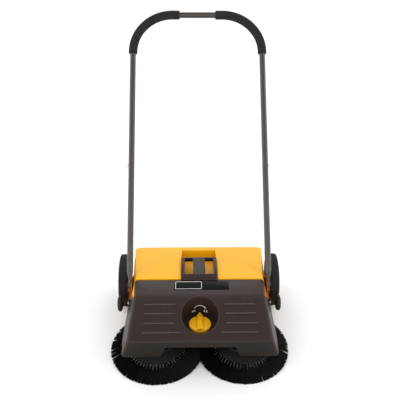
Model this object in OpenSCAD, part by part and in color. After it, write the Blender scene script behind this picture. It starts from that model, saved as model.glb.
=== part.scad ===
// Walk-behind push sweeper with two wheel-driven disc brushes.
// Millimetres, +Z up, front of the machine towards -Y, floor at Z = 0.

/* [Wheels] */
// Height of the wheel centre above the floor
wheel_r = 87.5; // [85:0.5:90]
// Width of a tyre
tyre_w = 30; // [26:1:30]

/* [Brushes] */
// Sideways distance from the middle to each brush axis
brush_x = 131; // [131:0.5:133]
// Radius of the bristle tips on the floor
brush_r = 130.6; // [126:0.2:130.6]
// Forward lean of the brush axes in degrees
brush_tilt = 4; // [3:0.5:5]

/* [Handle] */
// Backward lean of the handle in degrees
handle_lean = 40.2; // [36:0.2:46]
// Length of the handle from its pivot to the crossbar
handle_len = 925; // [860:5:960]
// Outside radius of the handle tube
tube_r = 10; // [9.5:0.1:10]

/* [Hood] */
// Wall thickness of the plastic mouldings
wall = 3; // [2.6:0.1:3.2]

/* [Knob] */
// Radius of the height knob
knob_r = 34.5; // [30:0.5:36]

/* [Hidden] */
$fn = 64;

dark = [0.25, 0.22, 0.21];
yellow = [0.98, 0.72, 0.12];
black = [0.08, 0.08, 0.08];
steel = [0.72, 0.72, 0.74];
resin = [0.85, 0.84, 0.8];

gear_m = 2;
drive_z = 62;
idler_z = 39;
lay_z = 21;
pinion_z = 18;
crown_z = 40;
gear_x = 196;
gear_w = 8;
brush_lift = brush_r * sin(brush_tilt);
pinion_h = (wheel_r - brush_lift) / cos(brush_tilt);
crown_h = pinion_h - gear_m * pinion_z / 2;
lay_y = -pinion_h * sin(brush_tilt);
idler_front_y = lay_y + gear_m * (lay_z + idler_z) / 2;
idler_rear_y = idler_front_y + gear_m * idler_z;
axle_y = idler_rear_y + gear_m * (idler_z + drive_z) / 2;
wheel_x = 232;
face_slope = 0.42;
lip_y = -80;
lip_z = 109;
crease_y = 53;
crease_z = lip_z + face_slope * (crease_y - lip_y);
band_y = 131;
band_z = crease_z + 4;
knob_y = -2.5;
bowl_r = 54.6;
bowl_z = 97;
pivot_y = 133;
pivot_z = 146;
handle_x = 221;
bend_r = 135;
seam_s = 368;
button_s = 390;
grip_s = 784;
top_y = pivot_y + handle_len * sin(handle_lean);
grip_r = 15;
mid_y = (top_y + grip_r - brush_r * cos(brush_tilt)) / 2;

// Cylinder along X from x0 to x1
module bar_x(x0, x1, r) {
  translate([min(x0, x1), 0, 0])
    rotate([0, 90, 0])
      cylinder(r = r, h = abs(x1 - x0));
}

// Side profile given as [y, z] points, extruded along X from x0 to x1
module plate_x(x0, x1, points) {
  translate([min(x0, x1), 0, 0])
    rotate([90, 0, 90])
      linear_extrude(abs(x1 - x0))
        polygon(points);
}

function involute(a) = tan(a) * 180 / PI - a;
function tooth_half(z, r, play) = 90 / z - play / r * 57.3 + involute(20)
  - involute(acos(min(1, gear_m * z / 2 * cos(20) / r)));
function gear_points(z, play) = [
  for (i = [0:z - 1])
    for (p = [[-1.25, -1], [0, -1], [1, -1], [1, 1], [0, 1], [-1.25, 1]])
      let (pr = gear_m * z / 2, r = pr + p[0] * gear_m)
        let (a = i * 360 / z + p[1] * tooth_half(z, max(r, pr * cos(20)), play))
          [r * cos(a), r * sin(a)]
];

// Spur gear about X with a tooth at angle turn from +Y
module spur(z, x0, w, bore_r, turn, play = 0.12) {
  translate([x0, 0, 0])
    rotate([90, 0, 90])
      rotate([0, 0, turn])
        linear_extrude(w)
          difference() {
            polygon(gear_points(z, play));
            circle(r = bore_r);
          }
}

// Places children at the bristle tip centre of one brush, with Z along the brush axis
module at_brush(s) {
  translate([s * brush_x, 0, brush_lift])
    rotate([brush_tilt, 0, 0])
      children();
}

// Places children at the handle pivot, with Z along the handle
module at_handle() {
  translate([0, pivot_y, pivot_z])
    rotate([-handle_lean, 0, 0])
      children();
}

// Puts X geometry drawn for the right side on side s
module side(s) {
  if (s > 0) children();
  else mirror([1, 0, 0]) children();
}

// Slab of thickness t along the flared plane that the hood's sides also lie in
module flared_slab(t) {
  translate([254.3 - t * 1.06, 0, 0])
    rotate([0, -18.85, 0])
      rotate([0, 0, -2.1])
        translate([0, -300, -200])
          cube([t, 700, 600]);
}

// Gear case wall with bearing bosses and hopper rails, the flared flank, and the handle pocket
module side_panel() {
  difference() {
    union() {
      plate_x(207, 210, [[-62, 68], [108, 68], [140, 24], [290, 24], [290, 150], [108, 131],
        [108, 102], [-62, 102]]);
      intersection() {
        flared_slab(3);
        plate_x(190, 230, [[58, 160], [112, 104], [188, 104], [200, 140], [292, 140], [292, 160]]);
      }
      plate_x(207, 221, [[112, 104], [188, 104], [188, 106.5], [112, 106.5]]);
      plate_x(213.6, 216.6, [[108.6, 107], [108.6, 136], [122, 157], [152, 157], [176, 148],
        [188, 120], [188, 105], [111, 105]]);
      at_handle()
        plate_x(214, 228, [[11.4, 4], [11.4, 14], [30, -6], [16, -20], [11.4, -4]]);
      translate([0, axle_y, wheel_r])
        bar_x(207, 228, 13);
      translate([0, lay_y, wheel_r])
        bar_x(207, 217, 11);
    }
    translate([0, axle_y, wheel_r])
      bar_x(200, 230, 8.05);
    translate([0, lay_y, wheel_r])
      bar_x(200, 214, 5.06);
    translate([0, idler_front_y, wheel_r])
      bar_x(200, 212, 4.05);
    translate([0, idler_rear_y, wheel_r])
      bar_x(200, 212, 4.05);
    translate([0, 112, 90])
      bar_x(200, 215, 4.06);
    translate([0, pivot_y, pivot_z])
      bar_x(212, 218, 4.05);
  }
  translate([184, 150, 24])
    cube([24, 50, 4]);
  translate([184, 266, 24])
    cube([24, 22, 4]);
}

module side_panels() {
  color(yellow)
    for (s = [-1, 1])
      side(s)
        side_panel();
}

module deck() {
  difference() {
    union() {
      translate([-192, -62, 98])
        cube([384, 166, 4]);
      translate([-207, -62, 98])
        cube([414, 28, 4]);
      for (s = [-1, 1])
        at_brush(s)
          translate([0, 0, 66])
            cylinder(r = 16, h = 27);
      for (s = [-1, 1])
        side(s)
          translate([153, lay_y - 8, 76])
            cube([5, 16, 23]);
    }
    translate([0, knob_y, 90])
      cylinder(r = bowl_r + wall + 1.5, h = 20);
    for (s = [-1, 1])
      at_brush(s)
        translate([0, 0, 60])
          cylinder(r = 7.06, h = 50);
    for (s = [-1, 1])
      at_brush(s)
        translate([0, 0, 92.5])
          cylinder(r = 20, h = 20);
    for (s = [-1, 1])
      side(s)
        translate([163, lay_y - 23, 90])
          cube([16, 46, 20]);
    for (s = [-1, 1])
      side(s)
        translate([0, lay_y, wheel_r])
          bar_x(150, 165, 5.06);
    translate([0, 76, 90])
      cylinder(r = 4.05, h = 20);
    hood_screw_places(2.8);
  }
}

module hood_screw_places(r) {
  for (s = [-1, 1])
    for (p = [[182, -48], [95, 88]])
      translate([s * p[0], p[1], 95])
        cylinder(r = r, h = 10);
}

// Dark deck with the cross beams that join the side panels
module chassis() {
  color(dark) {
    deck();
    translate([-204, 112, 134])
      cube([408, 14, 16]);
    for (s = [-1, 1])
      side(s)
        plate_x(184, 190, [[80, 98], [104, 98], [126, 132], [126, 150], [112, 150], [80, 102]]);
    translate([-207, 268, 20])
      cube([414, 14, 4]);
  }
}

// Solid block inside the hood, with every face moved inwards by t
module hood_block(t) {
  difference() {
    plate_x(-245, 245, [[lip_y - 2 + t, 20], [lip_y - 2 + t, 59], [lip_y + t, lip_z - t * 0.66],
      [crease_y + t * 0.15, crease_z - t], [band_y - t, band_z - t], [band_y - t, 20]]);
    for (s = [-1, 1])
      side(s)
        translate([254.3 - t * 1.06, 0, 0])
          rotate([0, -18.85, 0])
            rotate([0, 0, -2.1])
              translate([0, -300, -200])
                cube([100, 600, 600]);
  }
}

module hood() {
  color(dark) {
    difference() {
      union() {
        difference() {
          hood_block(0);
          hood_block(wall);
        }
        intersection() {
          hood_block(0);
          translate([0, knob_y, bowl_z - wall])
            cylinder(r = bowl_r + wall, h = 100);
        }
        hood_posts();
        ribs();
      }
      translate([0, knob_y, bowl_z])
        cylinder(r = bowl_r, h = 100);
      translate([0, knob_y, 80])
        cylinder(r = 6.08, h = 30);
      translate([-260, -100, 0])
        cube([520, 300, 51]);
      plate_x(-260, 260, [[10, 50], [60, 72], [128, 72], [128, 50]]);
      translate([0, -60, 0])
        rotate([90, 0, 0])
          linear_extrude(40)
            polygon([[-118.5, 48], [-103, 87], [103, 87], [118.5, 48]]);
      for (s = [-1, 1])
        side(s)
          plate_x(190, 260, [[56.7, 160.5], [111.5, 103.6], [140, 103.6], [140, 160.5]]);
      translate([-260, 127, 50])
        cube([520, 20, 102]);
      for (s = [-1, 1])
        side(s)
          translate([0, 112, 90])
            bar_x(213, 240, 4.6);
      hood_screw_holes();
    }
  }
}

module hood_posts() {
  intersection() {
    for (s = [-1, 1])
      for (p = [[182, -48], [95, 88]])
        translate([s * p[0], p[1], 102])
          cylinder(r = 6, h = 80);
    hood_block(1);
  }
}

module hood_screw_holes() {
  for (s = [-1, 1])
    for (p = [[182, -48], [95, 88]])
      translate([s * p[0], p[1], 90])
        cylinder(r = 2.55, h = 24);
}

// Four raised lines on each side of the dial
module ribs() {
  for (s = [-1, 1])
    for (g = [[28.9, 120, 94], [1.4, 121, 92], [-27.2, 123, 91], [-54.1, 115, 110]])
      translate([s * g[1], g[0], lip_z + face_slope * (g[0] - lip_y)])
        rotate([atan(face_slope), 0, 0])
          translate([-g[2] / 2, -1.8, -1.5])
            cube([g[2], 3.6, 2.6]);
}

module hood_screws() {
  color(steel)
    for (s = [-1, 1])
      for (p = [[182, -48], [95, 88]])
        translate([s * p[0], p[1], 0]) {
          translate([0, 0, 95.5])
            cylinder(r = 5, h = 2.5);
          translate([0, 0, 97])
            cylinder(r = 2.5, h = 15);
        }
}

module carry_bridge() {
  color(dark)
    difference() {
      union() {
        plate_x(-61, 61, [[125.5, 168.62], [125.5, 172], [142, 180], [226, 182], [231, 178], [231, 168],
          [227, 168], [226, 177], [143, 175], [131, 168.9]]);
        for (s = [-1, 1])
          side(s)
            translate([18.8, 143.8, 168])
              cube([32.4, 80.6, 8.5]);
      }
      for (s = [-1, 1])
        side(s)
          translate([21, 146, 160])
            cube([28, 76, 30]);
    }
}

module label_plate() {
  color(black)
    translate([7, 103.5, crease_z + 4 * (103.5 - crease_y) / 78 + 0.1])
      rotate([atan(4 / 78), 0, 0])
        translate([-85, -20, 0])
          cube([170, 40, 1]);
}

module dial_scale() {
  color([0.75, 0.75, 0.75])
    translate([0, knob_y, 0])
      difference() {
        intersection() {
          translate([0, 0, 118])
            cylinder(r = bowl_r - 0.3, h = 12);
          translate([-26, 20, 100])
            cube([52, 50, 60]);
        }
        translate([0, 0, 110])
          cylinder(r = bowl_r - 1.8, h = 30);
      }
}

module height_knob() {
  color(yellow)
    translate([0, knob_y, 0])
      difference() {
        union() {
          translate([0, 0, 97.6])
            cylinder(r1 = knob_r, r2 = knob_r - 1.5, h = 10.4);
          translate([0, 0, 107])
            linear_extrude(9)
              polygon([[-10, -31], [10, -31], [10, 31], [0, 42], [-10, 31]]);
        }
        translate([0, 0, 90])
          cylinder(r = 6.05, h = 20);
      }
}

module knob_shaft() {
  color(steel)
    translate([0, knob_y, 0]) {
      translate([0, 0, 58])
        cylinder(r = 6, h = 51);
      translate([0, 0, 90.5])
        cylinder(r = 9, h = 3);
    }
}

module carriage() {
  color(black)
    difference() {
      union() {
        translate([-14, -18, 66])
          cube([28, 136, 14]);
        for (s = [-1, 1])
          side(s)
            translate([12.5, 96, 18])
              cube([4, 16, 50]);
        for (s = [-1, 1])
          side(s)
            translate([12.5, 96, 66])
              cube([4, 22, 14]);
      }
      translate([0, knob_y, 60])
        cylinder(r = 6.08, h = 30);
      translate([0, 76, 60])
        cylinder(r = 4.08, h = 30);
      translate([0, 104, 24])
        bar_x(-20, 20, 3.05);
    }
}

module guide_pin() {
  color(steel)
    translate([0, 76, 0]) {
      translate([0, 0, 54])
        cylinder(r = 4, h = 48);
      translate([0, 0, 102])
        cylinder(r = 7, h = 2);
    }
}

module roller() {
  color(black)
    translate([0, 104, 24])
      difference() {
        bar_x(-11, 11, 20);
        bar_x(-12, 12, 3.06);
      }
}

module roller_axle() {
  color(steel)
    translate([0, 104, 24])
      bar_x(-18, 18, 3);
}

module disc(s) {
  color(black)
    at_brush(s)
      difference() {
        union() {
          translate([0, 0, 44])
            cylinder(r = 64, h = 8);
          translate([0, 0, 50])
            cylinder(r = 22, h = 6);
        }
        translate([0, 0, 40])
          cylinder(r = 7.05, h = 20);
      }
}

module bristles(s) {
  color(black)
    at_brush(s)
      rotate_extrude($fn = 96)
        polygon([[40, 43.8], [62, 43.8], [84, 24], [brush_r, 0], [96, 0], [56, 22]]);
}

module crown(s) {
  color(resin)
    at_brush(s) {
      difference() {
        translate([0, 0, 52])
          cylinder(r = 46, h = crown_h - 2.5 - 52);
        translate([0, 0, 50])
          cylinder(r = 34, h = 20);
      }
      for (i = [0:crown_z - 1])
        rotate([0, 0, i * 360 / crown_z])
          translate([36.5, 0, crown_h])
            rotate([90, 0, 90])
              linear_extrude(7)
                polygon([[-2, -2.6], [2, -2.6], [0.5, 1.9], [-0.5, 1.9]]);
    }
}

module spindle(s) {
  color(steel)
    at_brush(s) {
      translate([0, 0, 36])
        cylinder(r = 7, h = 62);
      translate([0, 0, 92.8])
        cylinder(r = 11, h = 5);
    }
}

module brush_nut(s) {
  color(black)
    at_brush(s)
      difference() {
        translate([0, 0, 34])
          cylinder(r = 16, h = 9.7, $fn = 8);
        translate([0, 0, 36])
          cylinder(r = 7.05, h = 20);
      }
}

module layshaft(s) {
  color(steel)
    side(s)
      translate([0, lay_y, wheel_r]) {
        bar_x(152, 213, 5);
        bar_x(164.5, 166.5, 8);
      }
}

module pinion(s) {
  color(resin)
    side(s)
      translate([0, lay_y, wheel_r])
        difference() {
          union() {
            spur(pinion_z, 167, 8, 8, brush_tilt + 180 / pinion_z - 90, 0.25);
            spur(lay_z, gear_x, gear_w, 8, 180 / lay_z);
            bar_x(166.8, 204.5, 9);
          }
          bar_x(160, 210, 5.03);
        }
}

module idler(s, y) {
  color(resin)
    side(s)
      translate([0, y, wheel_r])
        difference() {
          union() {
            spur(idler_z, gear_x, gear_w, 5, 180 / idler_z);
            bar_x(195.2, 205, 11);
          }
          bar_x(190, 210, 5.06);
        }
}

module idler_studs() {
  color(steel)
    for (s = [-1, 1])
      side(s)
        for (y = [idler_front_y, idler_rear_y])
          translate([0, y, wheel_r]) {
            bar_x(193, 206.9, 5);
            bar_x(192, 194.5, 8);
            bar_x(200, 211.5, 4);
          }
}

module drive_gear(s) {
  color(resin)
    side(s)
      translate([0, axle_y, wheel_r])
        difference() {
          union() {
            spur(drive_z, gear_x, gear_w, 12, 0);
            bar_x(195, 206.5, 15);
          }
          bar_x(190, 210, 6.05);
          for (a = [0:60:300])
            rotate([a, 0, 0])
              translate([0, 38, 0])
                bar_x(190, 210, 13);
        }
}

module axle(s) {
  color(steel)
    side(s)
      translate([0, axle_y, wheel_r]) {
        bar_x(194, 255, 6);
        bar_x(192, 194.8, 9);
        bar_x(253, 256, 10);
      }
}

module axle_bushes() {
  color(resin)
    for (s = [-1, 1])
      side(s)
        translate([0, axle_y, wheel_r])
          difference() {
            bar_x(207, 229.5, 8);
            bar_x(200, 235, 6.06);
          }
}

module rim(s) {
  color(dark)
    side(s)
      translate([0, axle_y, wheel_r])
        difference() {
          rotate([0, 90, 0])
            rotate_extrude($fn = 96)
              polygon([[10, 230.5], [16, 230.5], [18, 243], [66, 243], [70, 234], [78, 234], [78, 260],
                [70, 260], [66, 249], [20, 249], [18, 252.8], [10, 252.8]]);
          bar_x(225, 240, 6.06);
        }
  color(dark)
    side(s)
      translate([0, axle_y, wheel_r])
        difference() {
          bar_x(230.5, 252.8, 11);
          bar_x(225, 260, 6.06);
        }
}

module tyre(s) {
  color(black)
    side(s)
      translate([wheel_x, axle_y, wheel_r])
        rotate([0, 90, 0])
          rotate_extrude($fn = 96)
            polygon([[78.3, 1], [84, 0], [86.5, 3], [wheel_r, 8], [wheel_r, tyre_w - 8],
              [86.5, tyre_w - 3], [84, tyre_w], [78.3, tyre_w - 1]]);
}

module hub_cap(s) {
  color(dark)
    side(s)
      translate([0, axle_y, wheel_r])
        rotate([0, 90, 0])
          rotate_extrude()
            polygon([[0, 259], [14, 260], [24, 256], [24, 249.3], [21, 249.3], [21, 255], [14, 257],
              [0, 257]]);
}

module hopper_tub() {
  color(yellow) {
    difference() {
      union() {
        translate([-191, 146, 28.3])
          cube([382, 152, 139.7]);
        translate([-191, 290, 28.3])
          cube([382, 10, 131.7]);
      }
      translate([-188, 140, 31.3])
        cube([376, 158, 98.7]);
      translate([-188, 149, 100])
        cube([376, 146, 80]);
      translate([-68, 140, 136])
        cube([136, 146, 40]);
    }
    translate([-214, 299, 30])
      cube([428, 4, 130]);
  }
}

module hopper_lid() {
  color(yellow)
    difference() {
      union() {
        difference() {
          lid_block(160.3, 171);
          translate([0, 0, -3])
            intersection() {
              lid_block(150, 171);
              translate([-196, 134.8, 140])
                cube([392, 163.5, 40]);
            }
        }
        translate([-67, 131.8, 137])
          cube([134, 155, 31]);
      }
      translate([-64, 120, 140])
        cube([128, 113, 50]);
      hull() {
        translate([-54, 200, 140])
          cube([108, 33, 50]);
        translate([-54, 200, 170.9])
          cube([108, 83, 1]);
      }
    }
}

// Lid outline between two heights, with a sloping facet along each side of its top
module lid_block(z0, z1) {
  difference() {
    translate([0, 0, z0])
      linear_extrude(z1 - z0)
        polygon([[-196, 131.8], [196, 131.8], [200.5, 137], [214, 292], [204, 303], [-204, 303],
          [-214, 292], [-200.5, 137]]);
    for (s = [-1, 1])
      side(s)
        translate([197.8, 100, z1])
          rotate([0, 32, 0])
            cube([100, 250, 30]);
  }
}

module intake_flap() {
  color(black)
    translate([-184, 143.6, 8])
      cube([368, 2.2, 26]);
}

module pivot_bolts() {
  color(black)
    for (s = [-1, 1])
      side(s)
        translate([0, pivot_y, pivot_z]) {
          bar_x(212, 229, 4);
          bar_x(226.2, 230, 7.5);
          bar_x(212, 213.6, 6);
        }
}

module lower_tube(s) {
  color(dark)
    side(s)
      at_handle()
        translate([handle_x, 0, 0])
          difference() {
            union() {
              translate([-4, 0, 0])
                rotate([0, 90, 0])
                  cylinder(r = 11, h = 8);
              translate([-4, -11, 0])
                cube([8, 22, 24]);
              hull() {
                translate([-4, -11, 22])
                  cube([8, 22, 1]);
                translate([0, 0, 44])
                  cylinder(r = tube_r, h = 1);
              }
              translate([0, 0, 44])
                cylinder(r = tube_r, h = seam_s - 44);
              translate([0, 0, seam_s - 2])
                cylinder(r = tube_r - 1.6, h = 62);
            }
            translate([-10, 0, 0])
              rotate([0, 90, 0])
                cylinder(r = 4.08, h = 20);
            translate([0, 0, 60])
              cylinder(r = tube_r - 1.5, h = seam_s - 64);
            translate([0, 0, 60])
              cylinder(r = tube_r - 3, h = seam_s + 60);
            translate([0, 0, button_s])
              bar_x(0, 20, 3.56);
          }
}

// The two top bends of the handle as solid bars of radius r
module handle_bend(r) {
  for (s = [-1, 1])
    side(s)
      translate([handle_x - bend_r, 0, handle_len - bend_r])
        rotate([90, 0, 0])
          rotate_extrude(angle = 90, $fn = 96)
            translate([bend_r, 0])
              circle(r = r, $fn = 48);
}

module upper_tube() {
  color(dark)
    at_handle()
      difference() {
        union() {
          for (s = [-1, 1])
            translate([s * handle_x, 0, seam_s])
              cylinder(r = tube_r, h = handle_len - bend_r - seam_s);
          translate([0, 0, handle_len])
            bar_x(bend_r - handle_x, handle_x - bend_r, tube_r);
          handle_bend(tube_r);
        }
        for (s = [-1, 1])
          translate([s * handle_x, 0, seam_s - 1])
            cylinder(r = tube_r - 1.3, h = handle_len - bend_r - seam_s + 1);
        translate([0, 0, handle_len])
          bar_x(bend_r - handle_x, handle_x - bend_r, tube_r - 1.3);
        handle_bend(tube_r - 1.3);
        for (s = [-1, 1])
          side(s)
            translate([handle_x, 0, button_s])
              bar_x(0, 20, 3.56);
      }
}

module grip(s) {
  color(black)
    side(s)
      at_handle()
        difference() {
          union() {
            translate([handle_x, 0, grip_s])
              cylinder(r = grip_r, h = handle_len - bend_r - grip_s);
            translate([0, 0, handle_len])
              bar_x(62, handle_x - bend_r, grip_r);
            translate([handle_x - bend_r, 0, handle_len - bend_r])
              rotate([90, 0, 0])
                rotate_extrude(angle = 90, $fn = 96)
                  translate([bend_r, 0])
                    circle(r = grip_r, $fn = 48);
          }
          translate([handle_x, 0, grip_s - 1])
            cylinder(r = tube_r + 0.3, h = handle_len - bend_r - grip_s + 1);
          translate([0, 0, handle_len])
            bar_x(60, handle_x - bend_r, tube_r + 0.3);
          translate([handle_x - bend_r, 0, handle_len - bend_r])
            rotate([90, 0, 0])
              rotate_extrude(angle = 90, $fn = 96)
                translate([bend_r, 0])
                  circle(r = tube_r + 0.3, $fn = 48);
        }
}

module button(s) {
  color(steel)
    side(s)
      at_handle()
        translate([handle_x, 0, button_s]) {
          bar_x(2, 14, 3.5);
          bar_x(0.5, 3, 5);
        }
}

module hand_knob(s) {
  color(black)
    side(s)
      translate([0, 112, 90])
        difference() {
          rotate([0, 90, 0])
            rotate_extrude()
              polygon([[0, 233], [10, 233], [8.5, 237], [9, 243], [20, 245], [26.5, 248], [26.5, 255],
                [20, 259], [0, 260.5]]);
          bar_x(220, 250, 4.03);
          for (a = [30:60:330])
            rotate([a, 0, 0])
              translate([0, 31, 0])
                bar_x(240, 265, 8);
        }
}

module knob_stud(s) {
  color(steel)
    side(s)
      translate([0, 112, 90])
        bar_x(206, 249, 4);
}

translate([0, -mid_y, 0]) {
chassis();
side_panels();
hood();
hood_screws();
carry_bridge();
label_plate();
dial_scale();
height_knob();
knob_shaft();
carriage();
guide_pin();
roller();
roller_axle();
disc(-1);  // disc_l
disc(1);  // disc_r
bristles(-1);  // bristles_l
bristles(1);  // bristles_r
crown(-1);  // crown_l
crown(1);  // crown_r
spindle(-1);  // spindle_l
spindle(1);  // spindle_r
brush_nut(-1);  // brush_nut_l
brush_nut(1);  // brush_nut_r
layshaft(-1);  // layshaft_l
layshaft(1);  // layshaft_r
pinion(-1);  // pinion_l
pinion(1);  // pinion_r
idler(-1, idler_front_y);  // idler_front_l
idler(1, idler_front_y);  // idler_front_r
idler(-1, idler_rear_y);  // idler_rear_l
idler(1, idler_rear_y);  // idler_rear_r
idler_studs();
drive_gear(-1);  // drive_gear_l
drive_gear(1);  // drive_gear_r
axle(-1);  // axle_l
axle(1);  // axle_r
axle_bushes();
rim(-1);  // rim_l
rim(1);  // rim_r
tyre(-1);  // tyre_l
tyre(1);  // tyre_r
hub_cap(-1);  // hub_cap_l
hub_cap(1);  // hub_cap_r
hopper_tub();
hopper_lid();
intake_flap();
pivot_bolts();
lower_tube(-1);  // lower_tube_l
lower_tube(1);  // lower_tube_r
upper_tube();
grip(-1);  // grip_l
grip(1);  // grip_r
button(-1);  // button_l
button(1);  // button_r
hand_knob(-1);  // hand_knob_l
hand_knob(1);  // hand_knob_r
knob_stud(-1);  // knob_stud_l
knob_stud(1);  // knob_stud_r
}
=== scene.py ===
import math
import random

import bmesh
import bpy
from mathutils import Matrix, Quaternion, Vector


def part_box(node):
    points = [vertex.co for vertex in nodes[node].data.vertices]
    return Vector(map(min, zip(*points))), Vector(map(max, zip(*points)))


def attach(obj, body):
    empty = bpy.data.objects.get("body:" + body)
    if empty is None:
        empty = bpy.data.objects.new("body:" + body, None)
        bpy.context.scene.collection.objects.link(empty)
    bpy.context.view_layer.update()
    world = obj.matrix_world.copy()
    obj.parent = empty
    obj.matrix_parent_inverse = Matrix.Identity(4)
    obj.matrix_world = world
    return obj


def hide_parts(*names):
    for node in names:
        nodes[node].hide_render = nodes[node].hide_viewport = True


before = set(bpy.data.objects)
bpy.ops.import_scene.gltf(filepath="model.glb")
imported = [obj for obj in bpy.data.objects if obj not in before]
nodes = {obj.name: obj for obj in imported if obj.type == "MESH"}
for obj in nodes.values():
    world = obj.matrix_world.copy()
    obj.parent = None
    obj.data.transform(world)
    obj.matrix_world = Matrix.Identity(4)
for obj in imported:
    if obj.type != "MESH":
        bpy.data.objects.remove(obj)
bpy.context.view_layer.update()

# Driving sizes in mm, measured from the line between the two brush centres
MM = 0.001
AXLE_Y = 233.518
WHEEL_R = 87.5
WHEEL_X = 232
BRUSH_X = 131
BRUSH_R = 130.6
LEAN = math.radians(4)
DIAL_Y = -2.5
STUD_Y, STUD_Z = 112, 90
HANDLE_X = 221
HANDLE_TOP = 925
HANDLE_BEND = 135
TAG = {-1: "l", 1: "r"}

low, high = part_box("tyre_r")
SHIFT = (low[1] + high[1]) / 2 - AXLE_Y * MM


def at(x, y, z):
    """A point given in millimetres from the brush line, in the row frame in metres."""
    return Vector((x * MM, y * MM + SHIFT, z * MM))


ORIGIN = at(0, 0, 0)


def link(obj):
    bpy.context.scene.collection.objects.link(obj)
    return obj


# ---------------------------------------------------------------- materials

def make_material(name):
    mat = bpy.data.materials.new(name)
    mat.use_nodes = True
    tree = mat.node_tree
    return mat, tree, tree.nodes["Principled BSDF"]


def add(tree, kind, **values):
    node = tree.nodes.new(kind)
    for key, value in values.items():
        setattr(node, key, value)
    return node


def ramp(tree, source, stops):
    node = add(tree, "ShaderNodeValToRGB")
    ends = node.color_ramp.elements
    while len(ends) < len(stops):
        ends.new(0.5)
    for end, (place, colour) in zip(ends, stops):
        end.position = place
        end.color = colour if len(colour) == 4 else (*colour, 1)
    tree.links.new(source, node.inputs["Fac"])
    return node.outputs["Color"]


def noise(tree, scale, detail=3.0, rough=0.5, stretch=None):
    coords = add(tree, "ShaderNodeTexCoord")
    source = coords.outputs["Object"]
    if stretch:
        mapping = add(tree, "ShaderNodeMapping")
        mapping.inputs["Scale"].default_value = stretch
        tree.links.new(source, mapping.inputs["Vector"])
        source = mapping.outputs["Vector"]
    node = add(tree, "ShaderNodeTexNoise")
    node.inputs["Scale"].default_value = scale
    node.inputs["Detail"].default_value = detail
    node.inputs["Roughness"].default_value = rough
    tree.links.new(source, node.inputs["Vector"])
    return node.outputs["Fac"]


def grey(v):
    return (v, v, v)


def edge_mask(tree, radius):
    """Light on convex edges, from the angle between the rounded and the true normal."""
    bevel = add(tree, "ShaderNodeBevel", samples=4)
    bevel.inputs["Radius"].default_value = radius
    geometry = add(tree, "ShaderNodeNewGeometry")
    dot = add(tree, "ShaderNodeVectorMath", operation="DOT_PRODUCT")
    tree.links.new(bevel.outputs["Normal"], dot.inputs[0])
    tree.links.new(geometry.outputs["Normal"], dot.inputs[1])
    return dot.outputs["Value"]


def bump(tree, bsdf, layers):
    """Chains bump nodes from (height output, strength, distance) entries."""
    normal = None
    for height, strength, distance in layers:
        node = add(tree, "ShaderNodeBump")
        node.inputs["Strength"].default_value = strength
        node.inputs["Distance"].default_value = distance
        tree.links.new(height, node.inputs["Height"])
        if normal:
            tree.links.new(normal, node.inputs["Normal"])
        normal = node.outputs["Normal"]
    tree.links.new(normal, bsdf.inputs["Normal"])


def mix_colour(tree, factor, a, b):
    node = add(tree, "ShaderNodeMix", data_type="RGBA")
    tree.links.new(factor, node.inputs[0])
    for socket, value in ((node.inputs[6], a), (node.inputs[7], b)):
        if isinstance(value, tuple):
            socket.default_value = value if len(value) == 4 else (*value, 1)
        else:
            tree.links.new(value, socket)
    return node.outputs[2]


def plastic(name, dark, light, rough, grain, depth, edge=None, edge_wear_and_highlight=0.5, shine=0.5):
    """A moulding that varies from dark to light. Where edge gives a colour, its convex edges are lightened
    towards it and broken up by noise: partly scuffing and partly a painted edge highlight.
    """
    mat, tree, bsdf = make_material(name)
    clouds = noise(tree, 9, 4, 0.6)
    colour = ramp(tree, clouds, [(0.3, dark), (0.72, light)])
    if edge:
        # Painted edge highlight mixed with scuffing: convex edges are lightened towards the edge colour and
        # broken up by noise.
        mask = ramp(tree, edge_mask(tree, 0.0022), [(0.80, grey(edge_wear_and_highlight)), (0.97, grey(0))])
        edge_breakup = noise(tree, 130, 4, 0.7)
        broken = ramp(tree, edge_breakup, [(0.38, grey(0.25)), (0.62, grey(1))])
        both = add(tree, "ShaderNodeMix", data_type="RGBA", blend_type="MULTIPLY")
        both.inputs[0].default_value = 1.0
        tree.links.new(mask, both.inputs[6])
        tree.links.new(broken, both.inputs[7])
        colour = mix_colour(tree, both.outputs[2], colour, edge)
    tree.links.new(colour, bsdf.inputs["Base Color"])
    smear = noise(tree, 34, 5, 0.65)
    gloss = ramp(tree, smear, [(0.25, grey(rough * 0.8)), (0.8, grey(min(1, rough * 1.22)))])
    tree.links.new(gloss, bsdf.inputs["Roughness"])
    bsdf.inputs["Specular IOR Level"].default_value = shine
    fine = noise(tree, grain, 2, 0.5)
    bump(tree, bsdf, [(fine, depth, 0.00025), (noise(tree, 60, 2, 0.5), 0.05, 0.0006)])
    return mat


def metal(name, dark, light, rough, metallic=1.0, streak=(1, 1, 1), coat=0.0):
    mat, tree, bsdf = make_material(name)
    streaks = noise(tree, 420, 3, 0.6, streak)
    tree.links.new(ramp(tree, streaks, [(0.3, dark), (0.7, light)]), bsdf.inputs["Base Color"])
    gloss = ramp(tree, noise(tree, 60, 4, 0.6), [(0.3, grey(rough * 0.8)), (0.75, grey(rough * 1.25))])
    tree.links.new(gloss, bsdf.inputs["Roughness"])
    bsdf.inputs["Metallic"].default_value = metallic
    bsdf.inputs["Coat Weight"].default_value = coat
    bsdf.inputs["Coat Roughness"].default_value = 0.15
    bump(tree, bsdf, [(streaks, 0.1, 0.0001)])
    return mat


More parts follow.
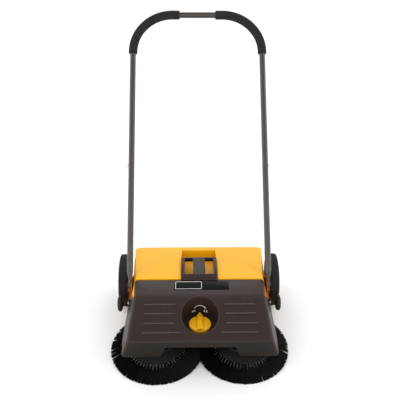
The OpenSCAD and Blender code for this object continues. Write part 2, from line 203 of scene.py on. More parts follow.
def foam_material():
    mat, tree, bsdf = make_material("foam_sleeve")
    clouds = noise(tree, 40, 5, 0.7)
    colour = ramp(tree, clouds, [(0.3, (0.014, 0.013, 0.013)), (0.75, (0.026, 0.0245, 0.024))])
    tree.links.new(colour, bsdf.inputs["Base Color"])
    bsdf.inputs["Roughness"].default_value = 0.85
    bsdf.inputs["Specular IOR Level"].default_value = 0.15
    coords = add(tree, "ShaderNodeTexCoord")
    cells = add(tree, "ShaderNodeTexVoronoi")
    cells.inputs["Scale"].default_value = 900
    tree.links.new(coords.outputs["Object"], cells.inputs["Vector"])
    dents = noise(tree, 90, 3, 0.6)
    bump(tree, bsdf, [(cells.outputs["Distance"], 0.55, 0.0005), (dents, 0.3, 0.001)])
    return mat


def rubber_material():
    mat, tree, bsdf = make_material("tyre_rubber")
    dust = noise(tree, 55, 6, 0.7)
    colour = ramp(tree, dust, [(0.35, (0.010, 0.009, 0.0085)), (0.7, (0.020, 0.018, 0.0165))])
    tree.links.new(colour, bsdf.inputs["Base Color"])
    bsdf.inputs["Specular IOR Level"].default_value = 0.25
    tree.links.new(ramp(tree, dust, [(0.3, grey(0.55)), (0.75, grey(0.8))]), bsdf.inputs["Roughness"])
    bump(tree, bsdf, [(noise(tree, 1400, 2, 0.5), 0.3, 0.0003)])
    return mat


def bristle_material():
    mat, tree, bsdf = make_material("bristle_fibre")
    colour = ramp(tree, noise(tree, 180, 3, 0.6), [(0.3, grey(0.0015)), (0.8, (0.005, 0.0048, 0.0048))])
    tree.links.new(colour, bsdf.inputs["Base Color"])
    gloss = ramp(tree, noise(tree, 300, 2, 0.5), [(0.3, grey(0.5)), (0.8, grey(0.7))])
    tree.links.new(gloss, bsdf.inputs["Roughness"])
    bsdf.inputs["Specular IOR Level"].default_value = 0.08
    return mat


HOOD = plastic("hood_moulding", (0.0240, 0.0130, 0.0112), (0.0275, 0.0155, 0.0135), 0.40, 1500, 0.35,
               edge=(0.05, 0.04, 0.037), edge_wear_and_highlight=0.35, shine=0.28)
YELLOW = plastic("yellow_moulding", (0.82, 0.40, 0.001), (0.85, 0.42, 0.003), 0.36, 2200, 0.10,
                 edge=(0.88, 0.50, 0.04), edge_wear_and_highlight=0.3, shine=0.28)
# Painted highlight: the raised lines are the hood's own moulding, given a lighter colour and bright edges to
# stand in for their lit upper edge.
RIB_PAINTED_HIGHLIGHT = plastic("rib_painted_highlight", (0.034, 0.022, 0.020), (0.038, 0.026, 0.024), 0.25, 1500, 0.15,
              edge=(0.09, 0.075, 0.072), edge_wear_and_highlight=0.6, shine=0.8)
# Painted shade: a darker orange that stands in for the yellow moulding in shadow inside the handle pockets;
# the real moulding is one colour.
POCKET_PAINTED_SHADE = plastic("pocket_painted_shade", (0.30, 0.075, 0.002), (0.34, 0.09, 0.003), 0.5, 2200, 0.10, shine=0.1)
# Painted shade: the front lip is the hood's own moulding, given a darker colour for its shaded front face.
LIP_PAINTED_SHADE = plastic("lip_painted_shade", (0.0125, 0.0098, 0.0078), (0.0145, 0.0115, 0.0092), 0.45, 1500, 0.35,
              edge=(0.05, 0.04, 0.037), edge_wear_and_highlight=0.35, shine=0.2)
BLACK = plastic("black_moulding", (0.008, 0.0075, 0.007), (0.013, 0.012, 0.0115), 0.5, 1300, 0.4,
                edge=(0.035, 0.032, 0.031), edge_wear_and_highlight=0.35, shine=0.3)
WHEEL = plastic("wheel_moulding", (0.010, 0.009, 0.0085), (0.016, 0.014, 0.0135), 0.48, 1300, 0.35,
                edge=(0.045, 0.04, 0.038), edge_wear_and_highlight=0.35, shine=0.3)
RESIN = plastic("gear_resin", (0.62, 0.60, 0.55), (0.72, 0.70, 0.65), 0.45, 1500, 0.15,
                edge=(0.82, 0.8, 0.76))
SKIRT = plastic("brush_skirt", (0.005, 0.0047, 0.0046), (0.008, 0.0075, 0.0073), 0.6, 1300, 0.3,
                edge=(0.02, 0.019, 0.018), edge_wear_and_highlight=0.3, shine=0.12)
PLATE = plastic("blank_plate", grey(0.003), grey(0.005), 0.35, 2400, 0.06, edge=grey(0.03), shine=0.1)
MARK = plastic("grey_marking", grey(0.62), grey(0.72), 0.5, 1500, 0.1)
PAINT = metal("tube_coating", (0.018, 0.0125, 0.0105), (0.030, 0.022, 0.018), 0.17, 0.1,
              streak=(1, 1, 0.04), coat=0.5)
STEEL = metal("plated_steel", (0.52, 0.52, 0.54), (0.70, 0.70, 0.72), 0.28)
FOAM = foam_material()
RUBBER = rubber_material()
FIBRE = bristle_material()


def paint(obj, mat):
    if obj.data.materials:
        for i in range(len(obj.data.materials)):
            obj.data.materials[i] = mat
    else:
        obj.data.materials.append(mat)


# ---------------------------------------------------------------- mesh tools

def mesh_object(name, verts, faces, mat, smooth=35):
    mesh = bpy.data.meshes.new(name)
    mesh.from_pydata([tuple(v) for v in verts], [], faces)
    mesh.validate()
    obj = link(bpy.data.objects.new(name, mesh))
    tidy_normals(obj)
    shade(obj, smooth)
    paint(obj, mat)
    return obj


def tidy_normals(obj):
    bm = bmesh.new()
    bm.from_mesh(obj.data)
    bmesh.ops.remove_doubles(bm, verts=bm.verts, dist=1e-6)
    bmesh.ops.recalc_face_normals(bm, faces=bm.faces)
    bm.to_mesh(obj.data)
    bm.free()


def shade(obj, angle):
    for face in obj.data.polygons:
        face.use_smooth = True
    obj.data.set_sharp_from_angle(angle=math.radians(angle))


def bake(obj, angle=35):
    """Applies the modifiers to the mesh."""
    bpy.context.view_layer.update()
    graph = bpy.context.evaluated_depsgraph_get()
    mesh = bpy.data.meshes.new_from_object(obj.evaluated_get(graph))
    obj.modifiers.clear()
    obj.data = mesh
    shade(obj, angle)
    return obj


def drop(obj):
    bpy.data.objects.remove(obj)


def soften(obj, width, segments=3, angle=30):
    mod = obj.modifiers.new("edges", "BEVEL")
    mod.width = width * MM
    mod.segments = segments
    mod.limit_method = "ANGLE"
    mod.angle_limit = math.radians(angle)
    return mod


def carve(obj, *cutters):
    for cutter in cutters:
        mod = obj.modifiers.new("cut", "BOOLEAN")
        mod.operation = "DIFFERENCE"
        mod.solver = "EXACT"
        mod.object = cutter
    bake(obj)
    for cutter in cutters:
        drop(cutter)
    return obj


def prism(name, outline, lo, hi, mat, axis="x"):
    """A closed polygon extruded along one axis. Points are mm in the other two axes."""
    def place(a, b, h):
        if axis == "x":
            return at(h, a, b)
        if axis == "y":
            return at(a, h, b)
        return at(a, b, h)
    n = len(outline)
    verts = [place(a, b, lo) for a, b in outline] + [place(a, b, hi) for a, b in outline]
    faces = [list(range(n))[::-1], list(range(n, 2 * n))]
    faces += [[i, (i + 1) % n, n + (i + 1) % n, n + i] for i in range(n)]
    return mesh_object(name, verts, faces, mat)


def rounded(points, radius, steps=5):
    """A polygon with its corners rounded to radius, or to a radius for each corner."""
    result = []
    n = len(points)
    for i, point in enumerate(points):
        r = radius[i] if isinstance(radius, (list, tuple)) else radius
        p = Vector(point)
        if r <= 0:
            result.append(tuple(p))
            continue
        a = (Vector(points[i - 1]) - p)
        b = (Vector(points[(i + 1) % n]) - p)
        half = a.angle(b) / 2
        cut = min(r / math.tan(half), a.length * 0.49, b.length * 0.49)
        start = p + a.normalized() * cut
        end = p + b.normalized() * cut
        for k in range(steps + 1):
            t = k / steps
            q = start * (1 - t) ** 2 + p * 2 * t * (1 - t) + end * t ** 2
            result.append(tuple(q))
    return result


def ring_faces(segments, n, closed=True):
    """Quads between columns of n points that stand in a ring."""
    faces = []
    for i in range(segments):
        j = (i + 1) % segments
        for k in range(n if closed else n - 1):
            m = (k + 1) % n
            faces.append([i * n + k, j * n + k, j * n + m, i * n + m])
    return faces


def lathe(name, profile, centre, matrix, mat, segments=96, ripple=None, closed=False, smooth=35):
    """Turns (radius, height) points in mm round the local Z of matrix at centre."""
    verts = []
    for i in range(segments):
        angle = 2 * math.pi * i / segments
        for radius, height in profile:
            scale = ripple(angle, radius, height) if ripple else 1
            local = Vector((radius * scale * math.cos(angle), radius * scale * math.sin(angle), height)) * MM
            verts.append(centre + matrix @ local)
    return mesh_object(name, verts, ring_faces(segments, len(profile), closed), mat, smooth)


def sweep(name, points, radius, mat, sides):
    """A closed bar along points, whose radius(k, angle) is in mm."""
    verts, faces = [], []
    count = len(points)
    side = (points[1] - points[0]).normalized().orthogonal().normalized()
    for k, point in enumerate(points):
        ahead = points[min(k + 1, count - 1)] - points[max(k - 1, 0)]
        tangent = ahead.normalized()
        side = (side - tangent * side.dot(tangent)).normalized()
        other = tangent.cross(side)
        for i in range(sides):
            a = 2 * math.pi * i / sides
            verts.append(point + (side * math.cos(a) + other * math.sin(a)) * radius(k, a) * MM)
    for k in range(count - 1):
        for i in range(sides):
            j = (i + 1) % sides
            faces.append([k * sides + i, k * sides + j, (k + 1) * sides + j, (k + 1) * sides + i])
    faces.append(list(range(sides))[::-1])
    faces.append([(count - 1) * sides + i for i in range(sides)])
    return mesh_object(name, verts, faces, mat, 40)


def joined(name, parts):
    """One object from several, with their materials."""
    bm = bmesh.new()
    mats = []
    for part in parts:
        start = len(bm.faces)
        bm.from_mesh(part.data)
        bm.faces.ensure_lookup_table()
        slots = []
        for mat in part.data.materials:
            if mat not in mats:
                mats.append(mat)
            slots.append(mats.index(mat))
        for face in bm.faces[start:]:
            face.material_index = slots[face.material_index] if slots else 0
    mesh = bpy.data.meshes.new(name)
    bm.to_mesh(mesh)
    bm.free()
    for mat in mats:
        mesh.materials.append(mat)
    obj = link(bpy.data.objects.new(name, mesh))
    for part in parts:
        drop(part)
    return obj


# ---------------------------------------------------------------- hood

SLOPE = 0.42
BAND_SLOPE = 4 / 78
LIP_Y, LIP_Z = -80, 109
CREASE_Y, CREASE_Z = 53, 164.86
HOOD_SIDE = (254.3, 0.0385, 0.3415)
WALL = 3


def face_z(y):
    """Height of the hood's outer face: a steep front, then a nearly flat band."""
    if y < CREASE_Y:
        return LIP_Z + SLOPE * (y - LIP_Y)
    return CREASE_Z + (y - CREASE_Y) * BAND_SLOPE


def convex_body(name, outline, half, planes, mat, weights):
    """Extrudes a side outline, trims it with planes and rounds the edges that weights(edge) picks, in mm."""
    bm = bmesh.new()
    left = [bm.verts.new(at(-half, y, z)) for y, z in outline]
    right = [bm.verts.new(at(half, y, z)) for y, z in outline]
    bm.faces.new(left)
    bm.faces.new(right[::-1])
    n = len(outline)
    for i in range(n):
        j = (i + 1) % n
        bm.faces.new([left[i], left[j], right[j], right[i]])
    bmesh.ops.recalc_face_normals(bm, faces=bm.faces)
    for point, normal in planes:
        geometry = bm.verts[:] + bm.edges[:] + bm.faces[:]
        cut = bmesh.ops.bisect_plane(bm, geom=geometry, plane_co=point, plane_no=normal, clear_outer=True)
        edges = [e for e in cut["geom_cut"] if isinstance(e, bmesh.types.BMEdge)]
        bmesh.ops.contextual_create(bm, geom=edges)
    bmesh.ops.remove_doubles(bm, verts=bm.verts, dist=1e-6)
    bmesh.ops.recalc_face_normals(bm, faces=bm.faces)
    mesh = bpy.data.meshes.new(name)
    layer = bm.edges.layers.float.new("bevel_weight_edge")
    widest = max(0.01, max(weights(e) for e in bm.edges))
    for e in bm.edges:
        e[layer] = weights(e) / widest
    bm.to_mesh(mesh)
    bm.free()
    obj = link(bpy.data.objects.new(name, mesh))
    mod = obj.modifiers.new("round", "BEVEL")
    mod.width = widest * MM
    mod.segments = 6
    mod.limit_method = "WEIGHT"
    paint(obj, mat)
    return bake(obj)


def side_plane(s, x0, taper, flare):
    """A trimming plane at X = x0 + taper * Y - flare * Z on side s, all in mm."""
    point = at(s * x0, 0, 0)
    normal = Vector((s, -taper, flare)).normalized()
    return point, normal


def moulded(name, outer, inner, half, side, mat, weights, extra=()):
    """A rounded body less a smaller one, open at the bottom. side is (x0, taper, flare)."""
    x0, taper, flare = side
    outside = [side_plane(s, x0, taper, flare) for s in (-1, 1)] + list(extra)
    shell = convex_body(name, outer, half, outside, mat, weights)
    thin = WALL * math.sqrt(1 + taper * taper + flare * flare)
    inside = [side_plane(s, x0 - thin, taper, flare) for s in (-1, 1)]
    inside += [(point - normal * WALL * MM, normal) for point, normal in extra]
    core = convex_body("core", inner, half, inside, mat, lambda edge: 0)
    return carve(shell, core)


def mm_ends(edge):
    """Both ends of an edge in mm, measured from the brush line."""
    back = Vector((0, SHIFT / MM, 0))
    return [v.co / MM - back for v in edge.verts]


def hood_shell():
    outer = [(-82.5, 30), (-80, 109), (53, 164.9), (131, 168.9), (131, 30)]
    inner = [(-79.4, 20), (-77, 107), (53.5, 161.8), (128, 165.7), (128, 20)]

    def weights(edge):
        a, b = mm_ends(edge)
        middle = (a + b) / 2
        if middle.z < 31:
            return 0
        if abs(a.x - b.x) > 200:
            return 5 if middle.y < -70 else (12 if middle.y < 70 else 3)
        return 4 if abs(middle.y - 131) < 1 else 8
    hood = moulded("hood_moulding", outer, inner, 260, HOOD_SIDE, HOOD, weights)
    lower_edge = [(-120, 0), (-120, 51), (-12, 51), (100, 101), (160, 101), (160, 0)]
    mouth = rounded([(-118.5, 48), (-103, 87), (103, 87), (118.5, 48)], [0, 5, 5, 0])
    back = [(126.5, 20), (126.5, 152), (170, 152), (170, 20)]
    handle_room = [(56.7, 160.5), (111.5, 103.6), (140, 103.6), (140, 160.5)]
    cutters = [
        prism("lower_edge", lower_edge, -300, 300, HOOD),
        prism("mouth", mouth, -120, -40, HOOD, "y"),
        prism("back", back, -300, 300, HOOD),
    ]
    for s in (-1, 1):
        corner = [(s * 250, 40), (s * 250, 63), (s * 229.8, 63)]
        for a in (0.25, 0.55, 0.85, 1.1, 1.35):
            corner.append((s * (220 + 13.0 * math.cos(a)), 63 - 12 * math.sin(a)))
        corner += [(s * 219, 51), (s * 219, 40)]
        cutters.append(prism("corner", corner, -120, -40, HOOD, "y"))
        cutters.append(prism("handle_room", handle_room, s * 190, s * 300, HOOD))
    well = [(0, 80), (56.6, 80), (56.6, 230), (0, 230)]
    cutters.append(lathe("well", well, at(0, DIAL_Y, 0), Matrix.Identity(3), HOOD, 96))
    carve(hood, *cutters)
    # The front-facing faces of the lip get the darker lip material: painted shade.
    hood.data.materials.append(LIP_PAINTED_SHADE)
    for face in hood.data.polygons:
        if face.normal.y < -0.95 and face.center.z < 107 * MM:
            face.material_index = len(hood.data.materials) - 1
    return hood


def dial_bowl():
    """The round well of the dial with a raised rim that follows the sloping face."""
    segments = 128
    well_r, skirt_r, hole_r, under_z = 54.6, 57.6, 6.5, 94.0
    floor = [(hole_r, 97.0), (50.5, 97.0), (53.4, 97.8), (well_r, 100.0)]
    rim = [(well_r, -1.0), (54.9, 1.2), (56.0, 2.1), (skirt_r, 2.2), (59.0, 1.4), (59.5, 0.0), (59.5, -3.5)]
    verts = []
    for i in range(segments):
        a = 2 * math.pi * i / segments
        top = face_z(DIAL_Y + well_r * math.sin(a))
        column = floor + [(well_r, 100 + (top - 101) * t) for t in (0.3, 0.6, 0.85)]
        column += [(r, face_z(DIAL_Y + r * math.sin(a)) + lift) for r, lift in rim]
        skirt_z = face_z(DIAL_Y + skirt_r * math.sin(a)) - 4
        column += [(skirt_r, skirt_z), (skirt_r, under_z), (hole_r, under_z)]
        for r, z in column:
            verts.append(at(r * math.cos(a), DIAL_Y + r * math.sin(a), z))
    faces = ring_faces(segments, len(column))
    return mesh_object("dial_bowl", verts, faces, HOOD, 40)


def rib(x, y, length):
    """One raised line on the sloping face, with round ends."""
    end_r = 2.1
    outline = []
    for end in (1, -1):
        for k in range(9):
            a = math.pi * (k / 8 - 0.5) + (0 if end > 0 else math.pi)
            outline.append((end * (length / 2 - end_r) + end_r * math.cos(a), end_r * math.sin(a)))
    # The raised line takes the rib material: a lighter colour with bright edges, a painted highlight.
    obj = prism("rib", outline, -1.5, 2.4, RIB_PAINTED_HIGHLIGHT, "z")
    soften(obj, 1.3, 4)
    bake(obj)
    tilt = Matrix.Rotation(math.atan(SLOPE), 4, "X")
    obj.data.transform(Matrix.Translation(at(x, y, face_z(y))) @ tilt @ Matrix.Translation(-ORIGIN))
    return obj


def build_hood():
    ribs = []
    for s in (-1, 1):
        for x, y, length in ((120, 28.9, 94), (121, 1.4, 92), (123, -27.2, 91), (115, -54.1, 110)):
            ribs.append(rib(s * x, y, length))
    shell = hood_shell()
    bowl = dial_bowl()
    lines = joined("hood_lines", ribs)
    shade(lines, 40)
    for piece in (shell, bowl, lines):
        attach(piece, "frame")
    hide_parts("hood")


def build_bridge():
    """The carry bridge as a thin curved plate with a turned-down flange round each finger window."""
    profile = [(125.7, 168.7), (125.7, 172), (142, 180), (231, 182.3), (236, 178.5),
               (236, 168), (232.5, 168), (231.5, 177), (143, 175), (131, 169)]
    flanges = ((17.3, 19.5, 148, 227), (46.5, 48.7, 148, 227),
               (17.3, 48.7, 227, 229.4), (17.3, 48.7, 143.8, 146))
    plate = prism("plate", profile, -57, 57, HOOD)
    soften(plate, 1.4, 3, 25)
    bake(plate)
    cutters = []
    for s in (-1, 1):
        outline = rounded([(19.5, 146), (46.5, 146), (46.5, 227), (19.5, 227)], 4)
        cutters.append(prism("window", [(s * x, y) for x, y in outline], 150, 200, HOOD, "z"))
    carve(plate, *cutters)
    parts = [plate]
    for s in (-1, 1):
        for x0, x1, y0, y1 in flanges:
            outline = [(s * x0, y0), (s * x1, y0), (s * x1, y1), (s * x0, y1)]
            wall = prism("flange", outline, 167.5, 178, HOOD, "z")
            soften(wall, 0.5, 2)
            bake(wall)
            parts.append(wall)
    bridge = joined("bridge_moulding", parts)
    shade(bridge, 35)
    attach(bridge, "frame")
    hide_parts("carry_bridge")


def build_plate():
    """A blank plate with one empty outlined box."""
    tilt = Matrix.Rotation(math.atan(BAND_SLOPE), 4, "X")
    base = prism("plate", rounded([(-85, -20), (85, -20), (85, 20), (-85, 20)], 2.5), -0.2, 1.0, PLATE, "z")
    soften(base, 0.4, 2)
    bake(base)
    parts = [base]
    box = ((-82, 0, 15.4, 17), (-82, 0, -17, -15.4), (-82, -80.6, -17, 17), (-1.4, 0, -17, 17))
    for x0, x1, y0, y1 in box:
        parts.append(prism("line", [(x0, y0), (x1, y0), (x1, y1), (x0, y1)], 0.9, 1.2, MARK, "z"))
    plate = joined("hood_plate", parts)
    y = 103.5
    plate.data.transform(Matrix.Translation(at(7, y, face_z(y) + 0.1)) @ tilt @ Matrix.Translation(-ORIGIN))
    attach(plate, "frame")
    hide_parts("label_plate")


def build_scale():
    """A plain wedge-shaped arc with short ticks at both ends, on the back wall of the dial."""
    verts, faces = [], []
    radius, outer = 54.2, 54.55
    steps = 36
    ticks = ((-23.5, 2.4, 107, 7), (-19, 2.4, 107, 7), (-14.5, 2.4, 107, 7),
             (15, 4.0, 106, 9), (22, 4.0, 106, 9))

    def wall(u, z, r=radius):
        a = math.pi / 2 - u / radius
        return at(r * math.cos(a), DIAL_Y + r * math.sin(a), z)
    for i in range(steps + 1):
        t = i / steps
        a = math.pi * (0.08 + 0.84 * t)
        for out in (0, 1.6 + 3.0 * t):
            r = 17 + out
            verts.append(wall(-r * math.cos(a), 117 + r * 0.75 * math.sin(a)))
            verts.append(wall(-r * math.cos(a), 117 + r * 0.75 * math.sin(a), outer))
    for i in range(steps):
        k = i * 4
        for a, b in ((0, 2), (2, 3), (3, 1), (1, 0)):
            faces.append([k + a, k + b, k + 4 + b, k + 4 + a])
    faces += [[0, 1, 3, 2], [steps * 4, steps * 4 + 2, steps * 4 + 3, steps * 4 + 1]]
    arc = mesh_object("scale_arc", verts, faces, MARK)
    parts = [arc]
    sides = [[0, 1, 2, 3], [7, 6, 5, 4], [0, 4, 5, 1], [1, 5, 6, 2], [2, 6, 7, 3], [3, 7, 4, 0]]
    for u, width, z, tall in ticks:
        box = [(u - width / 2, z), (u + width / 2, z), (u + width / 2, z + tall), (u - width / 2, z + tall)]
        corners = [wall(*corner, r) for r in (radius, outer) for corner in box]
        parts.append(mesh_object("tick", corners, sides, MARK))
    scale = joined("dial_marks", parts)
    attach(scale, "frame")
    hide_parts("dial_scale")


def build_knob():
    """A fluted disc with a pointed bar across it, whose top has a ridge."""
    centre = at(0, DIAL_Y, 0)
    ridge_z = 116.2

    def flutes(angle, radius, height):
        if radius > 33 and height < 106.2:
            return 1 - 0.018 * (0.5 + 0.5 * math.cos(angle * 40)) ** 2
        return 1
    profile = [(0, 97.6), (33.2, 97.6), (34.4, 98.6), (34.3, 101), (34.1, 104),
               (33.8, 106), (33.2, 107.3), (31.8, 108), (29, 108.1), (0, 108.1)]
    disc = lathe("disc", profile, centre, Matrix.Identity(3), YELLOW, 320, flutes, smooth=50)
    outline = rounded([(-9.9, -31), (9.9, -31), (9.9, 30), (0, 41.6), (-9.9, 30)], [2, 2, 4, 2, 4])
    n = len(outline)
    verts = [at(x, y + DIAL_Y, 107.5) for x, y in outline]
    verts += [at(x, y + DIAL_Y, ridge_z - 0.5 * abs(x)) for x, y in outline]
    verts += [at(0, -33.5, ridge_z), at(0, 38.9, ridge_z)]
    faces = [list(range(n))[::-1]] + [[i, (i + 1) % n, n + (i + 1) % n, n + i] for i in range(n)]
    right = [n + i for i in range(n) if outline[i][0] >= -0.01]
    right.sort(key=lambda i: outline[i - n][1])
    left = [n + i for i in range(n) if outline[i][0] <= 0.01]
    left.sort(key=lambda i: -outline[i - n][1])
    faces += [right + [2 * n + 1, 2 * n], left + [2 * n, 2 * n + 1]]
    bar = mesh_object("bar", verts, faces, YELLOW, 25)
    soften(bar, 0.9, 3, 25)
    bake(bar)
    knob = joined("knob_grip", [disc, bar])
    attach(knob, "height_knob")
    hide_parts("height_knob")


# ---------------------------------------------------------------- hopper

FACET = math.radians(20)


def build_lid():
    """The hopper's cover with a sloping facet to each side and a scoop for the fingers."""
    outer = [(131.8, 140), (131.8, 171), (150, 171.4), (217, 172.0),
             (285, 172.0), (304.5, 171.8), (304.5, 140)]
    inner = [(134.8, 130), (134.8, 167), (217, 167.8), (300, 167), (300.5, 130)]
    facets = [(at(s * 199, 200, 171.8), Vector((s * math.sin(FACET), 0, math.cos(FACET)))) for s in (-1, 1)]

    def weights(edge):
        a, b = mm_ends(edge)
        middle = (a + b) / 2
        if middle.z < 141:
            return 0
        if abs(a.x - b.x) > 200:
            return 2.5 if middle.y > 295 else (1.5 if middle.y < 135 else 0)
        if abs(a.z - b.z) > 7 and abs(a.y - b.y) < 2:
            return 11 if middle.y > 290 else 2
        return 2.5
    lid = moulded("hopper_cover", outer, inner, 240, (218.5, 0.0835, 0.17), YELLOW, weights, facets)
    trim = prism("trim", [(100, 100), (100, 160.4), (340, 160.4), (340, 100)], -300, 300, YELLOW)
    outline = [(-59.5, 100), (59.5, 100), (59.5, 240), (56.5, 287), (-56.5, 287), (-59.5, 240)]
    carve(lid, trim, prism("slot", outline, 137, 200, YELLOW, "z"))
    scoop = []
    for s in (-1, 1):
        outline = [(58.5, 131.9), (61.5, 131.9), (61.5, 240), (58.5, 288), (55.5, 288), (58.5, 240)]
        wall = prism("wall", [(s * x, y) for x, y in outline], 137, 171.8, YELLOW, "z")
        soften(wall, 0.8, 3)
        bake(wall)
        scoop.append(wall)
    profile = [(131.9, 137), (272, 137), (283, 141), (287.5, 150), (288, 171.9),
               (284.6, 171.9), (283.4, 152), (279.5, 144.5), (270, 141), (131.9, 140)]
    tray = prism("tray", profile, -60, 60, YELLOW)
    ends = []
    for s in (-1, 1):
        outline = [(s * 59.9, 240), (s * 57, 290), (s * 90, 290), (s * 90, 240)]
        ends.append(prism("end", outline, 100, 200, YELLOW, "z"))
    carve(tray, *ends)
    soften(tray, 0.8, 2)
    bake(tray)
    scoop.append(tray)
    pocket = joined("hopper_scoop", scoop)
    shade(pocket, 40)
    for piece in (lid, pocket):
        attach(piece, "hopper")
    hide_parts("hopper_lid")


# ---------------------------------------------------------------- brushes

LIFT = BRUSH_R * math.sin(LEAN)
STEPS = 5


def add_strand(verts, faces, points):
    """A thin bent prism along points, slightly thinner at its root."""
    start = len(verts)
    for k, p in enumerate(points):
        ahead = (points[min(k + 1, STEPS)] - points[max(k - 1, 0)]).normalized()
        across = ahead.cross(Vector((0, 0, 1))).normalized()
        up = across.cross(ahead)
        wide = (0.62 if k < 2 else 0.85) * MM
        for q in range(3):
            a = 2 * math.pi * q / 3
            verts.append(p + across * wide * math.cos(a) + up * wide * math.sin(a))
    for k in range(STEPS):
        near, far = start + k * 3, start + k * 3 + 3
        for q in range(3):
            n = (q + 1) % 3
            faces.append([near + q, near + n, far + n, far + q])
    faces.append([far, far + 1, far + 2])


def build_bristles(side, rng):
    """Tufts of single bristles round a moulded skirt, with a few splits where the tufts part."""
    tag = TAG[side]
    verts, faces = [], []
    turn = Matrix.Rotation(LEAN, 3, "X")
    base = at(side * BRUSH_X, 0, LIFT)
    floor_z = 0.6 * MM
    tufts = 60
    strands = 46
    pitch = 2 * math.pi / tufts
    outward = 0 if side > 0 else math.pi
    splits = [(outward + rng.uniform(-1.25, 1.25), rng.uniform(0.010, 0.026)) for _ in range(15)]
    splits += [(rng.uniform(0, 2 * math.pi), 0.008) for _ in range(6)]
    for t in range(tufts):
        middle = pitch * (t + 0.25 * side)
        for _ in range(strands):
            spread = max(-1, min(1, rng.uniform(-1, 1) + rng.gauss(0, 0.12)))
            layer = rng.random()
            root_r = 81 + 5 * layer
            root_a = middle + spread * 1.05 / root_r
            tip_r = 137.5 + 6.2 * layer ** 0.5 + rng.uniform(-1.8, 0)
            tip_a = middle + spread * 0.66 * pitch + rng.uniform(-0.006, 0.006)
            for where, wide in splits:
                off = (tip_a - where + math.pi) % (2 * math.pi) - math.pi
                if abs(off) < wide:
                    tip_a += math.copysign(wide, off) - off
            points = []
            sag = 1.5 + 3.5 * layer
            for k in range(STEPS + 1):
                s = k / STEPS
                r = root_r + (tip_r - root_r) * s
                h = 25.5 * (1 - s) + sag * math.sin(math.pi * s) * 0.9 - 4 * s * (1 - s) + 0.6 * s
                ease = min(1, s * 2.2)
                a = root_a + (tip_a - root_a) * (ease * 0.7 + s * 0.3)
                local = Vector((r * math.cos(a), r * math.sin(a), h - layer * 3 * (1 - s)))
                p = base + turn @ (local * MM)
                p.z = max(p.z, floor_z)
                points.append(p)
            add_strand(verts, faces, points)
    mesh = bpy.data.meshes.new("tufts")
    mesh.from_pydata([tuple(v) for v in verts], [], faces)
    obj = link(bpy.data.objects.new("tufts", mesh))
    shade(obj, 80)
    paint(obj, FIBRE)
    profile = [(40, 43.8), (60, 43.8), (64, 42), (84, 27.6), (86.2, 25.2),
               (86.4, 22.6), (84, 22), (80, 23.6), (60, 38), (40, 38)]
    skirt = lathe("skirt", profile, base, turn, SKIRT, 120, closed=True)
    brush = joined("tufts_" + tag, [obj, skirt])
    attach(brush, "brush_" + tag)
    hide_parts("bristles_" + tag)


# ---------------------------------------------------------------- wheels

def facing(side):
    """Turns the local Z of a lathe to point outwards along X."""
    return Matrix(((0, 0, side), (1, 0, 0), (0, 1, 0)))


def build_tyre(side):
    """A tyre with flat lugs across its tread."""
    tag = TAG[side]
    lugs = 66
    segments = lugs * 4
    section = [(78.3, 1.2), (80.5, 0.4), (83.2, 0.1), (85.6, 1.0), (86.8, 3.2), (87.2, 6.2), (87.4, 9.0),
               (87.5, 12.5), (87.5, 17.5), (87.4, 21.0), (87.2, 23.8), (86.8, 26.8), (85.6, 29.0),
               (83.2, 29.9), (80.5, 29.6), (78.3, 28.8), (78.3, 20), (78.3, 10)]
    verts = []
    centre = at(side * WHEEL_X, AXLE_Y, WHEEL_R)
    for i in range(segments):
        a = 2 * math.pi * i / segments
        groove = 1.0 if i % 4 < 2 else 0.0
        for r, h in section:
            deep = 2.1 * groove if r > 85.5 else (1.0 * groove if r > 83 else 0)
            rr = (r - deep) * MM
            verts.append(centre + Vector((side * h * MM, rr * math.cos(a), rr * math.sin(a))))
    tyre = mesh_object("tread_" + tag, verts, ring_faces(segments, len(section)), RUBBER, 28)
    soften(tyre, 0.35, 1, 40)
    bake(tyre, 30)
    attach(tyre, "wheel_" + tag)
    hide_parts("tyre_" + tag)


def build_rim(side):
    """A dished wheel centre with eight tapered spokes, a hub and a flanged rim."""
    tag = TAG[side]
    turn = facing(side)
    centre = at(0, AXLE_Y, WHEEL_R)
    spokes = 8
    profile = rounded([(69, 234), (78, 234), (78, 260), (69, 260), (66, 254), (66, 240)], 2, 4)
    ring = lathe("ring", profile, centre, turn, WHEEL, 128, closed=True)
    profile = rounded([(6.3, 230.6), (15.5, 230.6), (18, 243), (26, 244), (26, 249), (19.5, 250),
                       (17, 252.6), (6.3, 252.6)], 1.2, 3)
    hub = lathe("hub", profile, centre, turn, WHEEL, 96, closed=True)
    parts = [ring, hub]
    for i in range(spokes):
        a = 2 * math.pi * i / spokes
        outline = rounded([(22, -7.5), (68, -5.2), (68, 5.2), (22, 7.5)], 0.5, 1)
        spoke = prism("spoke", outline, 0, 1, WHEEL, "z")
        for v in spoke.data.vertices:
            p = (v.co - ORIGIN) / MM
            r, t, level = p.x, p.y, p.z
            depth = 243.5 + (2.0 if level < 0.5 else 6.0) - abs(t) * 0.12 + (r - 22) * 0.02
            y = r * math.cos(a) - t * math.sin(a)
            z = r * math.sin(a) + t * math.cos(a)
            v.co = centre + Vector((side * depth * MM, y * MM, z * MM))
        tidy_normals(spoke)
        soften(spoke, 1.2, 3)
        bake(spoke)
        parts.append(spoke)
    rim = joined("wheel_centre_" + tag, parts)
    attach(rim, "wheel_" + tag)
    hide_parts("rim_" + tag)
    profile = [(0, 259.6), (8, 260), (16, 258.8), (21.5, 256.6), (24, 253.5),
               (24, 249.6), (22, 249.6), (22, 252.5), (19, 255.2), (0, 257)]
    cap = lathe("wheel_cap_" + tag, profile, centre, turn, WHEEL, 96, smooth=50)
    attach(cap, "wheel_" + tag)
    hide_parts("hub_cap_" + tag)


